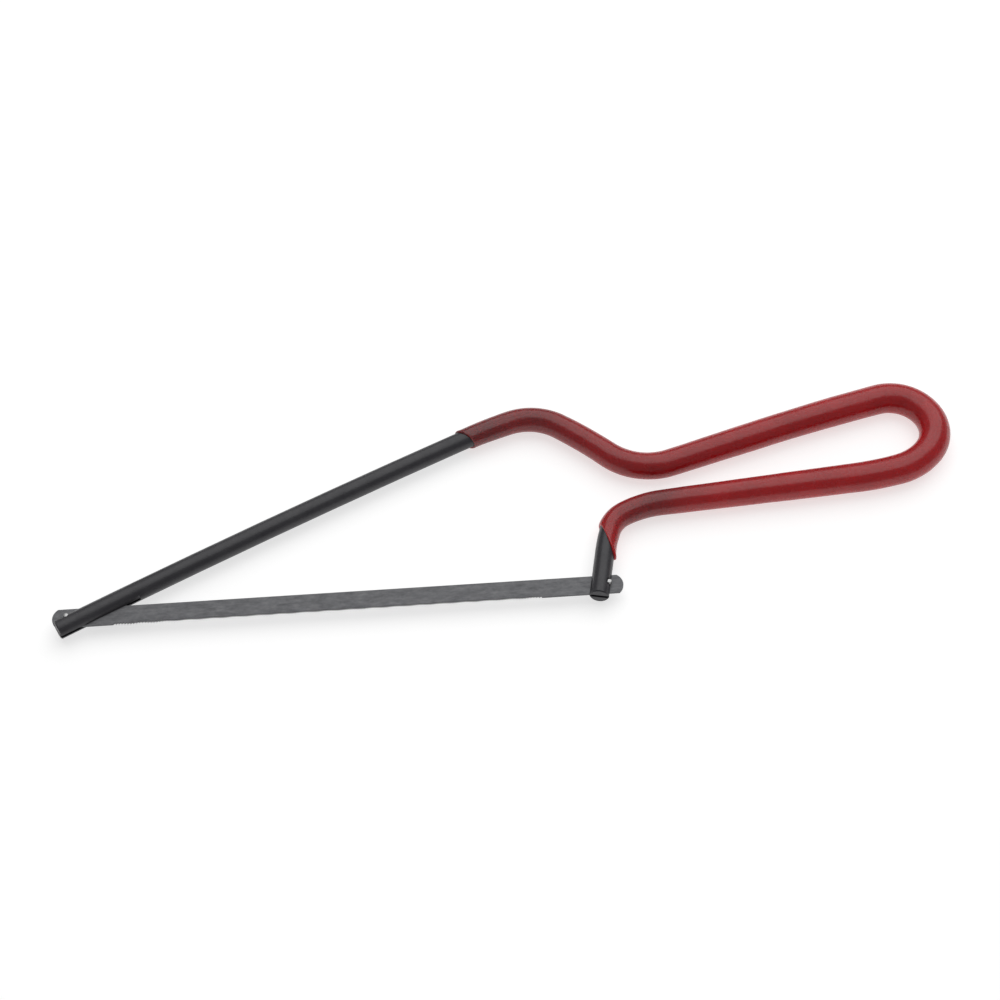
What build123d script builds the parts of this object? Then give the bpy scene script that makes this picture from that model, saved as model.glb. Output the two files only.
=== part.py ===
"""Junior hacksaw: a spring frame bent from one round bar, a dipped grip and a pinned blade.

The saw lies flat and the origin is at the bottom centre of its box. +X runs along the blade
from the front to the handle, +Y runs from the teeth to the back of the saw, and the bar's axis
stays in one level plane.

The frame flexes to let the blade in and out. Here the bar and its grip are parted by a narrow
gap at the apex of the handle's loop, so that the rear arm can turn there on a hinge.
"""

import math
import os

from build123d import *

# Place of the front blade pin's centre
FRONT_PIN_X = -125.53
FRONT_PIN_Y = -28.83

# Bar of the frame
BAR_RADIUS = 2.75
BAR_END_CHAMFER = 0.3

# Bending tables, as (run length, 0, 0) for a straight run and (0, radius, angle) for a bend.
# A positive angle turns left, seen from above. The bow's table starts at the front end.
FRONT_HEADING = 27.51
BOW_TABLE = [
    (0, 2700, -2.7),
    (0, 140, -6.5),
    (0, 16, -54.5),
    (0, 120, -8.25),
    (0, 18, 61.5),
    (29.5, 0, 0),
    (0, 600, -3.5),
    (0, 12, -103.5),
]
# The rear arm's table goes on from the loop's apex to the rear end.
ARM_TABLE = [
    (0, 12, -40.0),
    (0, 19, -37.0),
    (0, 90, -8.5),
    (56.5, 0, 0),
    (0, 30, 22.0),
    (0, 10, 45.0),
    (0, 60, 6.5),
    (15.3, 0, 0),
]
FLEX_GAP = 0.5

# Blade, with its measures taken from a pin's centre at each end
PIN_SPAN = 150.0
BLADE_BACK = 2.75  # from the pins up to the straight back
BLADE_FRONT = 3.0  # from the pins down to the tips of the teeth
BLADE_THICKNESS = 0.65
END_ROUND_RADIUS = 3.6
END_ROUND_X = 0.35  # the round's centre, out from the pin
END_ROUND_Y = -0.25
TOOTH_PITCH = 25.4 / 32
TOOTH_DEPTH = 0.42
TOOTH_FLAT = 0.08  # left on each tooth's tip
TOOTH_COUNT = 149
FIRST_TOOTH_X = 12.7  # from the front pin

# Blade pins
PIN_RADIUS = 0.7
PIN_LENGTH = 3.8
PIN_CHAMFER = 0.2

# Slots and notches for the blade in the two ends of the bar
SLOT_WIDTH = 0.95
FRONT_SLOT_LENGTH = 24.0
REAR_SLOT_LENGTH = 9.2
NOTCH_RADIUS = 1.05
PIN_CLEARANCE = 0.06  # between a pin and the wall that it bears on
FRONT_PIN_OFFSET = 2.14  # pin centre from the bar's axis
FRONT_PIN_TO_END = 3.84  # pin centre to the bar's end, along the axis

# Dipped grip. It thickens from its edges to the loop's apex.
COAT_EDGE = 0.45
COAT_APEX = 1.85
COAT_POWER = 0.6
COAT_SECTION_SPACING = 3.0
COAT_FRONT_EDGE = 129.2  # front end of the bar to the dip line, along the axis
COAT_FRONT_SLANT = -39.0  # the dip line's direction, in degrees
COAT_REAR_EDGE = 18.9  # rear end of the bar to the dip line, along the axis
COAT_REAR_SLANT = -73.0


def direction(degrees):
    return Vector(math.cos(math.radians(degrees)), math.sin(math.radians(degrees)))


def bent_axis(table, start, heading):
    """Chains the runs and bends of a bending table into one tangent line."""
    with BuildLine() as axis:
        for length, radius, angle in table:
            if radius:
                piece = JernArc(start, heading, radius, angle)
            else:
                piece = Line(start, start + heading * length)
            start = piece @ 1
            heading = piece % 1
    return axis.wire()


def section_plane(axis, distance):
    """The plane across a bent axis at a distance from its start."""
    share = distance / axis.length
    return Plane(origin=axis @ share, x_dir=(0, 0, 1), z_dir=axis % share)


def slot_outline(end, along, length):
    """The blade slot seen from above, from a little outside the bar's end."""
    middle = end + along * (length / 2 - BAR_RADIUS)
    with BuildSketch(Plane(origin=middle, x_dir=along, z_dir=(0, 0, 1))) as outline:
        Rectangle(length + 2 * BAR_RADIUS, 4 * BAR_RADIUS)
    return outline.sketch


def notch_outline(pin, mouth, pull):
    """A round-bottomed notch seen from above.

    mouth is the way that the notch opens and pull is the way that the blade pulls the pin.
    """
    floor = pin - pull * (NOTCH_RADIUS - PIN_RADIUS - PIN_CLEARANCE)
    with BuildSketch(Plane(origin=floor, x_dir=mouth, z_dir=(0, 0, 1))) as outline:
        Circle(NOTCH_RADIUS)
        with Locations((BAR_RADIUS, 0)):
            Rectangle(2 * BAR_RADIUS, 2 * NOTCH_RADIUS)
    return outline.sketch


def coat_radius(covered):
    """Outer radius of the grip at a share of the way from its edge to the loop's apex."""
    return BAR_RADIUS + COAT_EDGE + (COAT_APEX - COAT_EDGE) * covered**COAT_POWER


def coat_sections(axis, edge, apex):
    """Sections of the grip's outside, from a little before its edge to the loop's apex.

    edge and apex are distances along the axis.
    """
    start = edge + (edge - apex) / abs(edge - apex) * 2 * BAR_RADIUS
    steps = math.ceil(abs(apex - start) / COAT_SECTION_SPACING)
    sections = []
    for step in range(steps + 1):
        distance = start + (apex - start) * step / steps
        covered = max(0.0, (distance - edge) / (apex - edge))
        with BuildSketch(section_plane(axis, distance)) as section:
            Circle(coat_radius(covered))
        sections.append(section.sketch)
    return sections


def dip_plane(point, slant, away):
    """The upright plane of a dip line, with its normal on the side without grip."""
    line = direction(slant)
    normal = line.rotate(Axis.Z, 90)
    if normal.dot(away) < 0:
        normal = -normal
    return Plane(origin=point, x_dir=line, z_dir=normal)


def gap_outline(plane):
    """A disc wide enough to cut across the bar and its grip."""
    with BuildSketch(plane) as outline:
        Circle(2 * (BAR_RADIUS + COAT_APEX))
    return outline.sketch


# Places and axes that the pieces share
level = BAR_RADIUS + COAT_APEX
front_pin_centre = Vector(FRONT_PIN_X, FRONT_PIN_Y, level)
rear_pin_centre = front_pin_centre + Vector(PIN_SPAN, 0, 0)
front_along = direction(FRONT_HEADING)
front_outward = front_along.rotate(Axis.Z, 90)
front_end = front_pin_centre - front_outward * FRONT_PIN_OFFSET - front_along * FRONT_PIN_TO_END
bow_axis = bent_axis(BOW_TABLE, front_end, front_along)
arm_axis = bent_axis(ARM_TABLE, bow_axis @ 1, bow_axis % 1)
rear_end = arm_axis @ 1
rear_along = (arm_axis % 1) * -1
rear_edge = arm_axis.length - COAT_REAR_EDGE
apex_plane = section_plane(arm_axis, 0)

os.makedirs("parts", exist_ok=True)

with BuildPart() as bow:
    with BuildSketch(section_plane(bow_axis, 0)):
        Circle(BAR_RADIUS)
    sweep(path=bow_axis)
    chamfer(bow.faces().sort_by_distance(front_end)[0].edges(), BAR_END_CHAMFER)
    slot = slot_outline(front_end, front_along, FRONT_SLOT_LENGTH)
    extrude(slot, amount=SLOT_WIDTH / 2, both=True, mode=Mode.SUBTRACT)
    notch = notch_outline(front_pin_centre, front_outward, Vector(1, 0, 0))
    extrude(notch, amount=BAR_RADIUS, both=True, mode=Mode.SUBTRACT)
    extrude(gap_outline(apex_plane), amount=-FLEX_GAP / 2, mode=Mode.SUBTRACT)
bow.part.label = "frame_bow"
export_step(bow.part, "parts/frame_bow.step")

with BuildPart() as arm:
    with BuildSketch(section_plane(arm_axis, 0)):
        Circle(BAR_RADIUS)
    sweep(path=arm_axis)
    chamfer(arm.faces().sort_by_distance(rear_end)[0].edges(), BAR_END_CHAMFER)
    slot = slot_outline(rear_end, rear_along, REAR_SLOT_LENGTH)
    extrude(slot, amount=SLOT_WIDTH / 2, both=True, mode=Mode.SUBTRACT)
    notch = notch_outline(rear_pin_centre, Vector(1, 0, 0), Vector(-1, 0, 0))
    extrude(notch, amount=BAR_RADIUS, both=True, mode=Mode.SUBTRACT)
    extrude(gap_outline(apex_plane), amount=FLEX_GAP / 2, mode=Mode.SUBTRACT)
arm.part.label = "frame_arm"
export_step(arm.part, "parts/frame_arm.step")

with BuildPart() as upper_grip:
    loft(coat_sections(bow_axis, COAT_FRONT_EDGE, bow_axis.length))
    edge_point = section_plane(bow_axis, COAT_FRONT_EDGE).origin
    split(bisect_by=dip_plane(edge_point, COAT_FRONT_SLANT, front_along * -1), keep=Keep.BOTTOM)
    extrude(gap_outline(apex_plane), amount=-FLEX_GAP / 2, mode=Mode.SUBTRACT)
    with BuildSketch(section_plane(bow_axis, 0)):
        Circle(BAR_RADIUS)
    sweep(path=bow_axis, mode=Mode.SUBTRACT)
upper_grip.part.label = "grip_upper"
export_step(upper_grip.part, "parts/grip_upper.step")

with BuildPart() as lower_grip:
    loft(coat_sections(arm_axis, rear_edge, 0.0))
    edge_point = section_plane(arm_axis, rear_edge).origin
    split(bisect_by=dip_plane(edge_point, COAT_REAR_SLANT, rear_along * -1), keep=Keep.BOTTOM)
    extrude(gap_outline(apex_plane), amount=FLEX_GAP / 2, mode=Mode.SUBTRACT)
    with BuildSketch(section_plane(arm_axis, 0)):
        Circle(BAR_RADIUS)
    sweep(path=arm_axis, mode=Mode.SUBTRACT)
lower_grip.part.label = "grip_lower"
export_step(lower_grip.part, "parts/grip_lower.step")

with BuildPart() as blade:
    with BuildSketch(Plane(origin=front_pin_centre)):
        with Locations((-END_ROUND_X, END_ROUND_Y), (PIN_SPAN + END_ROUND_X, END_ROUND_Y)):
            Circle(END_ROUND_RADIUS)
        with Locations((PIN_SPAN / 2, END_ROUND_Y)):
            Rectangle(PIN_SPAN + 2 * END_ROUND_X, 2 * END_ROUND_RADIUS)
        with Locations((PIN_SPAN / 2, (BLADE_BACK - BLADE_FRONT) / 2)):
            length = PIN_SPAN + 4 * END_ROUND_RADIUS
            Rectangle(length, BLADE_BACK + BLADE_FRONT, mode=Mode.INTERSECT)
        with Locations((0, 0), (PIN_SPAN, 0)):
            Circle(PIN_RADIUS, mode=Mode.SUBTRACT)
        for tooth in range(TOOTH_COUNT):
            tip = FIRST_TOOTH_X + tooth * TOOTH_PITCH
            edge_y = -BLADE_FRONT
            with BuildLine():
                Polyline(
                    (tip + TOOTH_FLAT, edge_y),
                    (tip + TOOTH_PITCH, edge_y),
                    (tip + TOOTH_PITCH, edge_y + TOOTH_DEPTH),
                    close=True,
                )
            make_face(mode=Mode.SUBTRACT)
    extrude(amount=BLADE_THICKNESS / 2, both=True)
blade.part.label = "blade"
export_step(blade.part, "parts/blade.step")

with BuildPart() as front_pin:
    with BuildSketch(Plane(origin=front_pin_centre)):
        Circle(PIN_RADIUS)
    extrude(amount=PIN_LENGTH / 2, both=True)
    chamfer(front_pin.edges().filter_by(GeomType.CIRCLE), PIN_CHAMFER)
front_pin.part.label = "front_pin"
export_step(front_pin.part, "parts/front_pin.step")

with BuildPart() as rear_pin:
    with BuildSketch(Plane(origin=rear_pin_centre)):
        Circle(PIN_RADIUS)
    extrude(amount=PIN_LENGTH / 2, both=True)
    chamfer(rear_pin.edges().filter_by(GeomType.CIRCLE), PIN_CHAMFER)
rear_pin.part.label = "rear_pin"
export_step(rear_pin.part, "parts/rear_pin.step")
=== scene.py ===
"""Looks of the junior hacksaw: one dipped grip, a toothed blade, domed pins and their materials.

Lengths are in millimetres until a mesh is made. The bar's axis repeats the bending tables of the
CAD part, so the grip follows the bar exactly.
"""

import math

import bmesh
import bpy
import numpy as np
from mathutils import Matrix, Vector, noise
from mathutils.geometry import delaunay_2d_cdt


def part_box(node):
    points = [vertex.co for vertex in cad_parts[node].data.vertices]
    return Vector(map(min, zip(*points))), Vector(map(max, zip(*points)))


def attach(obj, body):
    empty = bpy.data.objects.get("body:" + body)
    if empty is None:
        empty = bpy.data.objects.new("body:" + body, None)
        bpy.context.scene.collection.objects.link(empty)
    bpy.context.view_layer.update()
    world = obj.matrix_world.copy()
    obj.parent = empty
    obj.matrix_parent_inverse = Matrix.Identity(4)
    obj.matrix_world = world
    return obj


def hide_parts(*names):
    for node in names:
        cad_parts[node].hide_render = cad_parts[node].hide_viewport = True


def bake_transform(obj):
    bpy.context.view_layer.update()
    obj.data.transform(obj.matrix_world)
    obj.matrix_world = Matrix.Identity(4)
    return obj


MM = 0.001

# Bar: bending tables as (run length, 0, 0) for a straight run and (0, radius, angle) for a bend
BAR_RADIUS = 2.75
FRONT_HEADING = 27.51
BOW_TABLE = [
    (0, 2700, -2.7),
    (0, 140, -6.5),
    (0, 16, -54.5),
    (0, 120, -8.25),
    (0, 18, 61.5),
    (29.5, 0, 0),
    (0, 600, -3.5),
    (0, 12, -103.5),
]
ARM_TABLE = [
    (0, 12, -40.0),
    (0, 19, -37.0),
    (0, 90, -8.5),
    (56.5, 0, 0),
    (0, 30, 22.0),
    (0, 10, 45.0),
    (0, 60, 6.5),
    (15.3, 0, 0),
]
FRONT_PIN_OFFSET = 2.14
FRONT_PIN_TO_END = 3.84
AXIS_STEP = 0.1

# Grip: dip lines, thickness from the edges to the loop's apex
COAT_FRONT_EDGE = 129.2
COAT_FRONT_SLANT = -39.0
COAT_REAR_EDGE = 18.9
COAT_REAR_SLANT = -73.0
COAT_EDGE = 0.45
COAT_APEX = 1.85
COAT_POWER = 0.6
EDGE_TRIES = 12

# Grip: waves of the dip, the drip and the rim at its edges, and its rounded lips
LONG_WAVE = 0.045
LONG_WAVE_RATE = 0.11
SHORT_WAVE = 0.015
SHORT_WAVE_RATE = 0.42
DRIP_HEIGHT = 0.28
DRIP_REACH = 1.5
RIM_HEIGHT = 0.1
RIM_REACH = 0.9
LIP_LENGTH = 0.45
LIP_SINK = 0.02
LINING_SINK = 0.05

# Grip: where the dark bar shows through the thin plastic
FRONT_SHOW_REACH = 35
FRONT_SHOW_POWER = 2.5
REAR_SHOW = 0.72
REAR_SHOW_PLACE = 20
REAR_SHOW_REACH = 13

# Grip: fineness of its mesh
GRIP_SEGMENTS = 72
GRIP_ROWS = 420
LIP_ROWS = 7
LINING_STEP = 2

# Blade
PIN_SPAN = 150.0
BLADE_BACK = 2.75
BLADE_FRONT = 3.0
BLADE_HALF_THICKNESS = 0.325
END_ROUND_RADIUS = 3.6
END_ROUND_OUT = 0.35
END_ROUND_DOWN = 0.25
END_STEPS = 28
BACK_STEP = 2.0
HEEL_STEPS = 5

# Teeth: the gullet is (share of the pitch, share of the depth), the set leans them sideways
TOOTH_PITCH = 25.4 / 32
TOOTH_DEPTH = 0.45
TOOTH_COUNT = 149
TOOTH_FLAT = 0.08
GULLET = ((0.72, 0.94), (0.86, 1.0), (0.97, 0.9))
FIRST_TOOTH_X = 12.7
TEETH_END_X = FIRST_TOOTH_X + TOOTH_COUNT * TOOTH_PITCH
SET_PERIOD = 8 * TOOTH_PITCH
SET_SWING = 0.17
SET_HEIGHT = 1.7
SET_POWER = 1.4
SET_FADE = 2

# Rows of mesh points inside the blade, which let the set bend smoothly
ROW_HEIGHTS = (-2.1, -1.7, -1.3, -0.9, 1.0)
ROW_OVERRUN = 3

# Pins, whose dome is drawn through shares of the radius and is nearly a quarter turn at the rim
PIN_RADIUS = 0.7
PIN_DOME = 0.24
PIN_DOME_SHARES = (0.15, 0.4, 0.6, 0.75, 0.88, 0.96, 1.0)
PIN_DOME_TURN = 0.97
PIN_SIDES = 40
HOLE_SIDES = 32

# Camera, in degrees and millimetres, aimed at a point measured from the front pin
CAMERA_AZIMUTH = -4.31
CAMERA_ELEVATION = 54.6
CAMERA_DISTANCE = 628.5
CAMERA_LENS = 79.2
AIM_FROM_PIN = (121.9, 30.9)

# Floor, light and world
FLOOR_HALF_SIZE = 4000
FLOOR_TONE = (0.54, 0.54, 0.54)
FLOOR_ROUGHNESS = 0.9
FLOOR_GLOW = 0.64
LIGHT_PLACE = (0.15, 0.45, 0.95)
LIGHT_SIZE = (1.5, 1.6)
LIGHT_POWER = 10.2
WORLD_GLOW = 0.25


# ---------------------------------------------------------------- places taken from the frame
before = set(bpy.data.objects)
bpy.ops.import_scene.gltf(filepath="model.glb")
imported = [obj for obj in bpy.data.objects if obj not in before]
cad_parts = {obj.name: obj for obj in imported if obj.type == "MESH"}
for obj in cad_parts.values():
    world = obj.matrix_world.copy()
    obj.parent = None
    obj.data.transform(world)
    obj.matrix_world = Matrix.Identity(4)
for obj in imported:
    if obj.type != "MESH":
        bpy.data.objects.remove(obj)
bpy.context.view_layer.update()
LEVEL = (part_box("front_pin")[0].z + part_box("front_pin")[1].z) / 2 / MM


def pin_centre(node_name):
    low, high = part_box(node_name)
    return (low + high) / 2 / MM


FRONT_PIN = pin_centre("front_pin")
REAR_PIN = pin_centre("rear_pin")


# ---------------------------------------------------------------- the bar's axis
class BarAxis:
    """The whole bar's axis, read by distance from its front end."""

    def __init__(self):
        along = math.radians(FRONT_HEADING)
        x = FRONT_PIN.x + FRONT_PIN_OFFSET * math.sin(along) - FRONT_PIN_TO_END * math.cos(along)
        y = FRONT_PIN.y - FRONT_PIN_OFFSET * math.cos(along) - FRONT_PIN_TO_END * math.sin(along)
        points = [(0.0, x, y, along)]
        travelled = 0.0
        for table in (BOW_TABLE, ARM_TABLE):
            for run, radius, angle in table:
                length = run or radius * abs(math.radians(angle))
                steps = math.ceil(length / AXIS_STEP)
                turn = math.radians(angle) / steps
                for _ in range(steps):
                    x += length / steps * math.cos(along + turn / 2)
                    y += length / steps * math.sin(along + turn / 2)
                    along += turn
                    travelled += length / steps
                    points.append((travelled, x, y, along))
            if table is BOW_TABLE:
                self.apex = travelled
        self.length = travelled
        self.rows = np.array(points).T

    def at(self, distance):
        """Point, direction along the bar and direction to its left, seen from above."""
        distances, *values = self.rows
        x, y, heading = (float(np.interp(distance, distances, row)) for row in values)
        ahead = Vector((math.cos(heading), math.sin(heading), 0))
        left = Vector((-ahead.y, ahead.x, 0))
        return Vector((x, y, LEVEL)), ahead, left


AXIS = BarAxis()


# ---------------------------------------------------------------- mesh helpers
def new_piece(name, builder, smooth=True):
    """Makes an object from a bmesh in millimetres."""
    for vertex in builder.verts:
        vertex.co *= MM
    bmesh.ops.recalc_face_normals(builder, faces=builder.faces)
    mesh = bpy.data.meshes.new(name)
    builder.to_mesh(mesh)
    builder.free()
    for polygon in mesh.polygons:
        polygon.use_smooth = smooth
    piece = bpy.data.objects.new(name, mesh)
    bpy.context.scene.collection.objects.link(piece)
    return piece


# ---------------------------------------------------------------- grip
def coat_thickness(distance):
    """Thickness of the grip, which grows from its edges to the loop's apex."""
    rear_edge = AXIS.length - COAT_REAR_EDGE
    if distance < AXIS.apex:
        covered = (distance - COAT_FRONT_EDGE) / (AXIS.apex - COAT_FRONT_EDGE)
    else:
        covered = (rear_edge - distance) / (rear_edge - AXIS.apex)
    covered = min(1.0, max(0.0, covered))
    return COAT_EDGE + (COAT_APEX - COAT_EDGE) * covered**COAT_POWER


def thinness(from_front, from_rear):
    """How much the dark bar shows through: most behind the front edge and round the rear bend."""
    front = 1 / (1 + (from_front / FRONT_SHOW_REACH) ** FRONT_SHOW_POWER)
    rear = REAR_SHOW * math.exp(-(((from_rear - REAR_SHOW_PLACE) / REAR_SHOW_REACH) ** 2))
    return min(1.0, front + rear)


def edge_distance(middle, slant, angle):
    """Where the dip line crosses the grip's surface at an angle round the bar."""
    on_line, _, _ = AXIS.at(middle)
    line = Vector((math.cos(math.radians(slant)), math.sin(math.radians(slant)), 0))
    across = Vector((-line.y, line.x, 0))
    distance = middle
    for _ in range(EDGE_TRIES):
        point, ahead, left = AXIS.at(distance)
        radius = BAR_RADIUS + coat_thickness(distance)
        surface = point + left * (radius * math.cos(angle))
        distance -= (surface - on_line).dot(across) / ahead.dot(across)
    return distance


def grip_radius(distance, angle, from_front, from_rear):
    """Outer radius of the grip, with slow waves of the dip and a drip at the rear edge."""
    point, _, left = AXIS.at(distance)
    up = Vector((0, 0, BAR_RADIUS * math.sin(angle)))
    spot = point + left * (BAR_RADIUS * math.cos(angle)) + up
    long_wave = LONG_WAVE * (noise.noise(spot * LONG_WAVE_RATE) - 1)
    short_wave = SHORT_WAVE * (noise.noise(spot * SHORT_WAVE_RATE) - 1)
    drip = DRIP_HEIGHT * math.exp(-(from_rear / DRIP_REACH) ** 2)
    rim = RIM_HEIGHT * math.exp(-(from_front / RIM_REACH) ** 2)
    left_side = 0.5 + 0.5 * math.cos(angle)
    wave = long_wave + short_wave
    return BAR_RADIUS + coat_thickness(distance) + wave + drip * left_side**3 + rim


def outward(left, angle):
    """Direction straight out of the bar: 0 is to its left, a quarter turn is up."""
    return left * math.cos(angle) + Vector((0, 0, math.sin(angle)))


def grip_stations(first, last):
    """Rows from edge to edge: distance, share of the lip's quarter turn, way the lip bulges."""
    shares = [k / LIP_ROWS for k in range(LIP_ROWS)]
    stations = [(first, share, -1) for share in shares]
    for row in range(GRIP_ROWS + 1):
        stations.append((first + (last - first) * row / GRIP_ROWS, 1.0, 0))
    stations += [(last, share, 1) for share in reversed(shares)]
    return stations


def grip_column(builder, thin, angle, first, last):
    """Outer vertices of the grip along one line from edge to edge."""
    column = []
    for distance, share, way in grip_stations(first, last):
        from_front = distance - first
        from_rear = last - distance
        outer = grip_radius(distance, angle, from_front, from_rear)
        lip = min(outer - BAR_RADIUS, LIP_LENGTH)
        turn = share * math.pi / 2
        radius = BAR_RADIUS - LIP_SINK + (outer - BAR_RADIUS + LIP_SINK) * math.sin(turn)
        point, _, left = AXIS.at(distance + way * lip * math.cos(turn))
        vertex = builder.verts.new(point + outward(left, angle) * radius)
        vertex[thin] = thinness(from_front, from_rear)
        column.append(vertex)
    return column


def lining_column(builder, angle, first, last):
    """Inner vertices of the grip along one line, hidden just under the bar's surface."""
    column = []
    for row in range(0, GRIP_ROWS + 1, LINING_STEP):
        point, _, left = AXIS.at(first + (last - first) * row / GRIP_ROWS)
        column.append(builder.verts.new(point + outward(left, angle) * (BAR_RADIUS - LINING_SINK)))
    return column


def build_grip():
    """One unbroken coat from the front dip line round the loop to the rear one."""
    builder = bmesh.new()
    thin = builder.verts.layers.float.new("thinness")
    rear_middle = AXIS.length - COAT_REAR_EDGE
    lines = []
    for k in range(GRIP_SEGMENTS):
        angle = 2 * math.pi * k / GRIP_SEGMENTS
        first = edge_distance(COAT_FRONT_EDGE, COAT_FRONT_SLANT, angle)
        last = edge_distance(rear_middle, COAT_REAR_SLANT, angle)
        lines.append((angle, first, last))
    outside = [grip_column(builder, thin, *line) for line in lines]
    inside = [lining_column(builder, *line) for line in lines]
    for j in range(GRIP_SEGMENTS):
        k = (j + 1) % GRIP_SEGMENTS
        outer, next_outer = outside[j], outside[k]
        inner, next_inner = inside[j], inside[k]
        for i in range(len(outer) - 1):
            builder.faces.new((outer[i], next_outer[i], next_outer[i + 1], outer[i + 1]))
        for i in range(len(inner) - 1):
            builder.faces.new((inner[i], inner[i + 1], next_inner[i + 1], next_inner[i]))
        builder.faces.new((outer[0], inner[0], next_inner[0], next_outer[0]))
        builder.faces.new((outer[-1], next_outer[-1], next_inner[-1], inner[-1]))
    return new_piece("grip", builder)


# ---------------------------------------------------------------- blade
def end_round(centre_x, start, turn):
    """Corners of one rounded end of the blade, counterclockwise."""
    corners = []
    for k in range(END_STEPS + 1):
        angle = start + turn * k / END_STEPS
        x = centre_x + END_ROUND_RADIUS * math.cos(angle)
        y = -END_ROUND_DOWN + END_ROUND_RADIUS * math.sin(angle)
        corners.append((x, y))
    return corners


def blade_outline():
    """Corners of the blade seen from above, counterclockwise from the first tooth."""
    bottom = -BLADE_FRONT
    points = []
    for tooth in range(TOOTH_COUNT):
        tip = FIRST_TOOTH_X + tooth * TOOTH_PITCH
        points.append((tip, bottom))
        points.append((tip + TOOTH_FLAT, bottom))
        for along, up in GULLET:
            points.append((tip + TOOTH_PITCH * along, bottom + TOOTH_DEPTH * up))
    points.append((TEETH_END_X, bottom))
    low = math.asin((bottom + END_ROUND_DOWN) / END_ROUND_RADIUS)
    high = math.asin((BLADE_BACK + END_ROUND_DOWN) / END_ROUND_RADIUS)
    points += end_round(PIN_SPAN + END_ROUND_OUT, low, high - low)
    for k in range(1, int(PIN_SPAN / BACK_STEP)):
        points.append((PIN_SPAN - k * BACK_STEP, BLADE_BACK))
    points += end_round(-END_ROUND_OUT, math.pi - high, high - low)
    for k in range(1, HEEL_STEPS):
        points.append((FIRST_TOOTH_X * k / HEEL_STEPS, bottom))
    return points


def set_offset(x, y):
    """Sideways lean of the wavy set, which fades out above the teeth."""
    if not FIRST_TOOTH_X < x < TEETH_END_X:
        return 0.0
    fade = min(1.0, (x - FIRST_TOOTH_X) / SET_FADE, (TEETH_END_X - x) / SET_FADE)
    reach = min(1.0, max(0.0, (SET_HEIGHT - BLADE_FRONT - y) / SET_HEIGHT))
    return SET_SWING * fade * reach**SET_POWER * math.sin(2 * math.pi * x / SET_PERIOD)


def blade_face():
    """Points and triangles of one side of the blade, with its two pin holes."""
    points = [Vector(p) for p in blade_outline()]
    loops = [list(range(len(points)))]
    for centre in (0.0, PIN_SPAN):
        start = len(points)
        for k in range(HOLE_SIDES):
            angle = 2 * math.pi * k / HOLE_SIDES
            x = centre + PIN_RADIUS * math.cos(angle)
            points.append(Vector((x, PIN_RADIUS * math.sin(angle))))
        loops.append(list(range(start, start + HOLE_SIDES))[::-1])
    for row, height in enumerate(ROW_HEIGHTS):
        step = TOOTH_PITCH if height < 0 else 2 * TOOTH_PITCH
        x = FIRST_TOOTH_X - ROW_OVERRUN + (row % 2) * TOOTH_PITCH / 2
        while x < TEETH_END_X + ROW_OVERRUN:
            points.append(Vector((x, height)))
            x += step
    verts, _, triangles, _, _, _ = delaunay_2d_cdt(points, [], loops, 1, 1e-6)
    kept = []
    for triangle in triangles:
        middle = sum((verts[i] for i in triangle), Vector((0, 0))) / 3
        from_pins = min(middle.length, (middle - Vector((PIN_SPAN, 0))).length)
        if from_pins > PIN_RADIUS * 0.99:
            kept.append(list(triangle))
    return verts, kept


def build_blade():
    """The blade with its teeth, in a wavy set."""
    flat, triangles = blade_face()
    builder = bmesh.new()
    layers = []
    for side in (-1, 1):
        layer = []
        for v in flat:
            z = side * BLADE_HALF_THICKNESS + set_offset(v.x, v.y)
            layer.append(builder.verts.new((v.x + FRONT_PIN.x, v.y + FRONT_PIN.y, z + LEVEL)))
        layers.append(layer)
    lower, upper = layers
    for triangle in triangles:
        builder.faces.new([upper[i] for i in triangle])
        builder.faces.new([lower[i] for i in reversed(triangle)])
    index = {v: i for i, v in enumerate(upper)}
    rim = [e for e in builder.edges if len(e.link_faces) == 1 and e.verts[0] in index]
    for edge in rim:
        a, b = (index[v] for v in edge.verts)
        builder.faces.new((upper[a], upper[b], lower[b], lower[a]))
    return new_piece("saw_blade", builder, smooth=False)


# ---------------------------------------------------------------- pins
def pin_ring(builder, centre, radius, height):
    ring = []
    for k in range(PIN_SIDES):
        angle = 2 * math.pi * k / PIN_SIDES
        x = centre.x + radius * math.cos(angle)
        y = centre.y + radius * math.sin(angle)
        ring.append(builder.verts.new((x, y, centre.z + height)))
    return ring


def build_pin(name, centre, half_length):
    """A drawn pin with domed ends."""
    outline = []
    for share in PIN_DOME_SHARES:
        drop = PIN_DOME * (1 - math.sqrt(1 - (PIN_DOME_TURN * share) ** 2))
        outline.append((PIN_RADIUS * share, half_length - drop))
    outline += [(radius, -height) for radius, height in reversed(outline)]
    builder = bmesh.new()
    rings = [pin_ring(builder, centre, radius, height) for radius, height in outline]
    for upper, lower in zip(rings, rings[1:]):
        for k in range(PIN_SIDES):
            n = (k + 1) % PIN_SIDES
            builder.faces.new((upper[k], upper[n], lower[n], lower[k]))
    builder.faces.new(rings[0])
    builder.faces.new(rings[-1][::-1])
    return new_piece(name, builder)


# ---------------------------------------------------------------- material helpers
NOISE_LOW = 0.3
NOISE_HIGH = 0.7
MIX_FACTOR = 0
MIX_FIRST = 6
MIX_SECOND = 7
MIX_RESULT = 2


def material(name, color, roughness, metallic=0.0):
    """A material with its plain values, and its shader."""
    finish = bpy.data.materials.new(name)
    finish.use_nodes = True
    shader = finish.node_tree.nodes["Principled BSDF"]
    shader.inputs["Base Color"].default_value = (*color, 1)
    shader.inputs["Roughness"].default_value = roughness
    shader.inputs["Metallic"].default_value = metallic
    return finish, shader


def node(finish, kind, **settings):
    created = finish.node_tree.nodes.new(kind)
    for key, value in settings.items():
        setattr(created, key, value)
    return created


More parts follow.
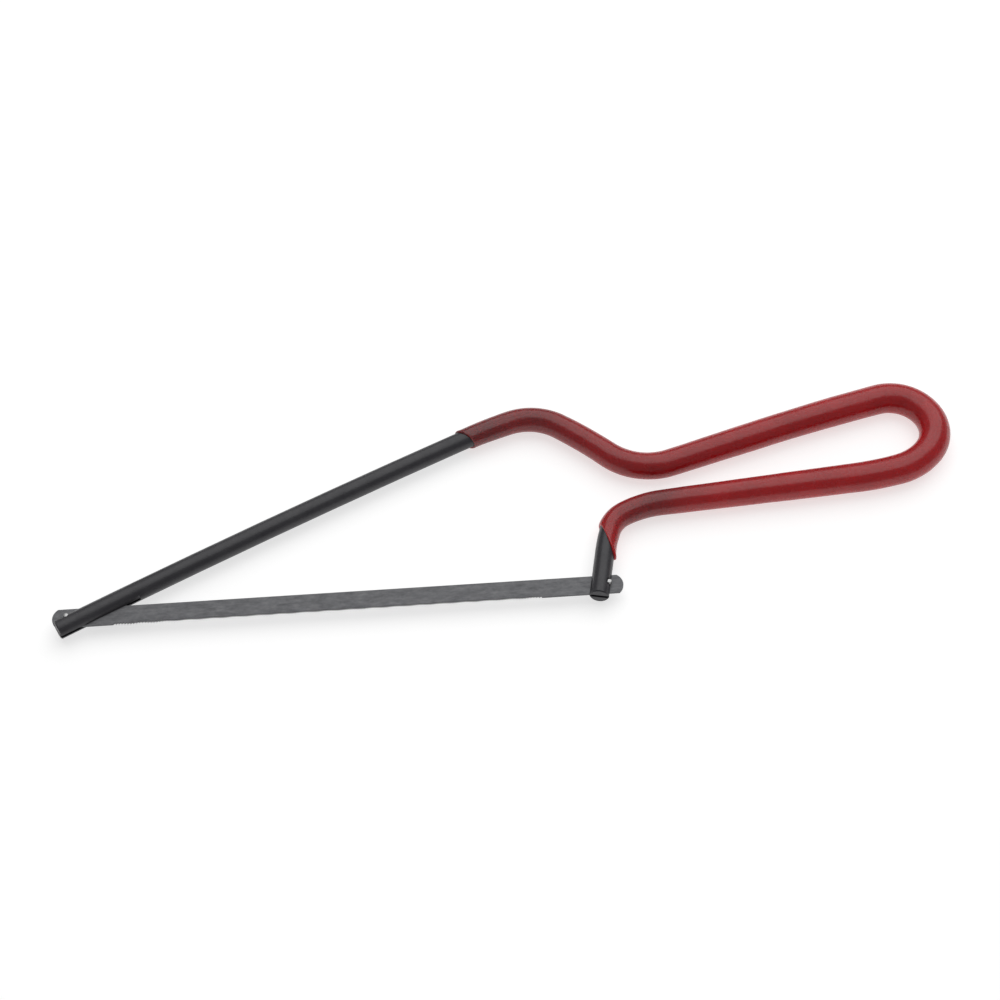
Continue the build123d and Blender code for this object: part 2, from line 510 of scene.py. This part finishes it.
def join(finish, output, target):
    finish.node_tree.links.new(output, target)


def noise_texture(finish, scale, detail=4.0, roughness=0.55, stretch=(1, 1, 1)):
    """Noise laid over the object in its own space; scale is in waves per metre."""
    where = node(finish, "ShaderNodeTexCoord")
    mapping = node(finish, "ShaderNodeMapping")
    mapping.inputs["Scale"].default_value = stretch
    texture = node(finish, "ShaderNodeTexNoise")
    texture.inputs["Scale"].default_value = scale
    texture.inputs["Detail"].default_value = detail
    texture.inputs["Roughness"].default_value = roughness
    join(finish, where.outputs["Object"], mapping.inputs["Vector"])
    join(finish, mapping.outputs["Vector"], texture.inputs["Vector"])
    return texture.outputs["Fac"]


def ramp(finish, value, stops):
    """Colour ramp through (place, colour) stops."""
    made = node(finish, "ShaderNodeValToRGB")
    elements = made.color_ramp.elements
    while len(elements) < len(stops):
        elements.new(0.5)
    for element, (place, color) in zip(elements, stops):
        element.position = place
        element.color = (*color, 1)
    join(finish, value, made.inputs["Fac"])
    return made.outputs["Color"]


def spread(finish, value, low, high):
    """Maps the middle range of a noise value to low-high."""
    mapped = node(finish, "ShaderNodeMapRange")
    mapped.inputs["From Min"].default_value = NOISE_LOW
    mapped.inputs["From Max"].default_value = NOISE_HIGH
    mapped.inputs["To Min"].default_value = low
    mapped.inputs["To Max"].default_value = high
    join(finish, value, mapped.inputs["Value"])
    return mapped.outputs["Result"]


def bump(finish, shader, height, strength, distance):
    raised = node(finish, "ShaderNodeBump")
    raised.inputs["Strength"].default_value = strength
    raised.inputs["Distance"].default_value = distance
    join(finish, height, raised.inputs["Height"])
    join(finish, raised.outputs["Normal"], shader.inputs["Normal"])


# ---------------------------------------------------------------- materials
def paint_material():
    finish, shader = material("satin_black_paint", (0.02, 0.02, 0.022), 0.46)
    dark = (0.023, 0.022, 0.027)
    light = (0.033, 0.032, 0.037)
    tone = noise_texture(finish, 260, 5)
    black = ramp(finish, tone, [(NOISE_LOW, dark), (NOISE_HIGH, light)])
    join(finish, black, shader.inputs["Base Color"])
    gloss = spread(finish, noise_texture(finish, 900, 3), 0.32, 0.44)
    join(finish, gloss, shader.inputs["Roughness"])
    bump(finish, shader, noise_texture(finish, 1900, 2), 0.25, 0.00004)
    return finish


def grip_material():
    """Soft red plastic, darker where the bar shows through it."""
    finish, shader = material("dipped_red_plastic", (0.5, 0.012, 0.018), 0.36)
    shader.inputs["Subsurface Weight"].default_value = 1.0
    shader.inputs["Subsurface Radius"].default_value = (1.0, 0.12, 0.1)
    shader.inputs["Subsurface Scale"].default_value = 0.0012
    deep = (0.37, 0.01, 0.013)
    bright = (0.45, 0.012, 0.016)
    over_bar = (0.18, 0.019, 0.021)
    tone = noise_texture(finish, 140, 4)
    red = ramp(finish, tone, [(NOISE_LOW, deep), (NOISE_HIGH, bright)])
    thin = node(finish, "ShaderNodeAttribute", attribute_name="thinness")
    blotches = spread(finish, noise_texture(finish, 75, 3), 0.7, 1.2)
    shown = node(finish, "ShaderNodeMath", operation="MULTIPLY", use_clamp=True)
    join(finish, thin.outputs["Fac"], shown.inputs[0])
    join(finish, blotches, shown.inputs[1])
    mixed = node(finish, "ShaderNodeMix", data_type="RGBA")
    mixed.inputs[MIX_SECOND].default_value = (*over_bar, 1)
    join(finish, shown.outputs["Value"], mixed.inputs[MIX_FACTOR])
    join(finish, red, mixed.inputs[MIX_FIRST])
    join(finish, mixed.outputs[MIX_RESULT], shader.inputs["Base Color"])
    gloss = spread(finish, noise_texture(finish, 420, 3), 0.2, 0.31)
    join(finish, gloss, shader.inputs["Roughness"])
    bump(finish, shader, noise_texture(finish, 800, 2), 0.2, 0.00006)
    return finish


def blade_material():
    """Rolled steel: blotched tone, and a grain drawn out along the blade."""
    finish, shader = material("blade_steel", (0.12, 0.12, 0.125), 0.5, 0.7)
    dark = (0.088, 0.089, 0.094)
    middle = (0.12, 0.121, 0.127)
    light = (0.158, 0.158, 0.164)
    tone = noise_texture(finish, 420, 8, 0.65, (1, 2.2, 2.2))
    steel = ramp(finish, tone, [(NOISE_LOW, dark), (0.5, middle), (0.72, light)])
    join(finish, steel, shader.inputs["Base Color"])
    grain = noise_texture(finish, 1500, 4, 0.6, (0.15, 1, 1))
    join(finish, spread(finish, grain, 0.38, 0.56), shader.inputs["Roughness"])
    scratches = noise_texture(finish, 2600, 3, 0.6, (0.12, 1, 1))
    bump(finish, shader, scratches, 0.25, 0.00003)
    return finish


def pin_material():
    finish, shader = material("bright_pin_steel", (0.42, 0.42, 0.42), 0.28, 1.0)
    gloss = spread(finish, noise_texture(finish, 3000, 3), 0.22, 0.4)
    join(finish, gloss, shader.inputs["Roughness"])
    bump(finish, shader, noise_texture(finish, 5200, 2), 0.2, 0.00002)
    return finish


def clothe(piece, finish):
    piece.data.materials.clear()
    piece.data.materials.append(finish)


# ---------------------------------------------------------------- pieces on their bodies
paint = paint_material()
for name in ("frame_bow", "frame_arm"):
    clothe(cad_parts[name], paint)

grip = build_grip()
clothe(grip, grip_material())
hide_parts("grip_upper", "grip_lower")
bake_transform(grip)

saw_blade = build_blade()
clothe(saw_blade, blade_material())
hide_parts("blade")
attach(saw_blade, "blade")

pin_steel = pin_material()
for node_name, centre in (("front_pin", FRONT_PIN), ("rear_pin", REAR_PIN)):
    half_length = (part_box(node_name)[1].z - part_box(node_name)[0].z) / 2 / MM
    pin = build_pin(node_name + "_drawn", centre, half_length)
    clothe(pin, pin_steel)
    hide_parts(node_name)
    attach(pin, "blade")


# ---------------------------------------------------------------- camera
azimuth = math.radians(CAMERA_AZIMUTH)
elevation = math.radians(CAMERA_ELEVATION)
aim = Vector((FRONT_PIN.x + AIM_FROM_PIN[0], FRONT_PIN.y + AIM_FROM_PIN[1], LEVEL))
backward = Vector(
    (
        math.sin(azimuth) * math.cos(elevation),
        -math.cos(azimuth) * math.cos(elevation),
        math.sin(elevation),
    )
)
camera_data = bpy.data.cameras.new("camera")
camera_data.lens = CAMERA_LENS
camera_data.sensor_width = 36
camera_data.clip_start = 0.01
camera = bpy.data.objects.new("camera", camera_data)
camera.location = (aim + backward * CAMERA_DISTANCE) * MM
camera.rotation_mode = "QUATERNION"
camera.rotation_quaternion = (-backward).to_track_quat("-Z", "Y")
bpy.context.scene.collection.objects.link(camera)
bpy.context.scene.camera = camera


# ---------------------------------------------------------------- floor, light and world
def build_floor():
    builder = bmesh.new()
    signs = ((-1, -1), (1, -1), (1, 1), (-1, 1))
    corners = [(x * FLOOR_HALF_SIZE, y * FLOOR_HALF_SIZE, 0) for x, y in signs]
    builder.faces.new([builder.verts.new(corner) for corner in corners])
    return new_piece("floor", builder, smooth=False)


floor = build_floor()
floor_finish, floor_shader = material("pale_floor", FLOOR_TONE, FLOOR_ROUGHNESS)
floor_shader.inputs["Emission Color"].default_value = (1, 1, 1, 1)
floor_shader.inputs["Emission Strength"].default_value = FLOOR_GLOW
clothe(floor, floor_finish)

panel_data = bpy.data.lights.new("overhead_back", "AREA")
panel_data.shape = "RECTANGLE"
panel_data.size, panel_data.size_y = LIGHT_SIZE
panel_data.energy = LIGHT_POWER
panel = bpy.data.objects.new("overhead_back", panel_data)
panel.location = LIGHT_PLACE
panel.rotation_mode = "QUATERNION"
panel.rotation_quaternion = (-Vector(LIGHT_PLACE)).to_track_quat("-Z", "Y")
bpy.context.scene.collection.objects.link(panel)

world = bpy.data.worlds.new("studio")
bpy.context.scene.world = world
world.use_nodes = True
background = world.node_tree.nodes["Background"]
background.inputs["Color"].default_value = (1, 1, 1, 1)
background.inputs["Strength"].default_value = WORLD_GLOW

bpy.context.scene.view_settings.view_transform = "Standard"
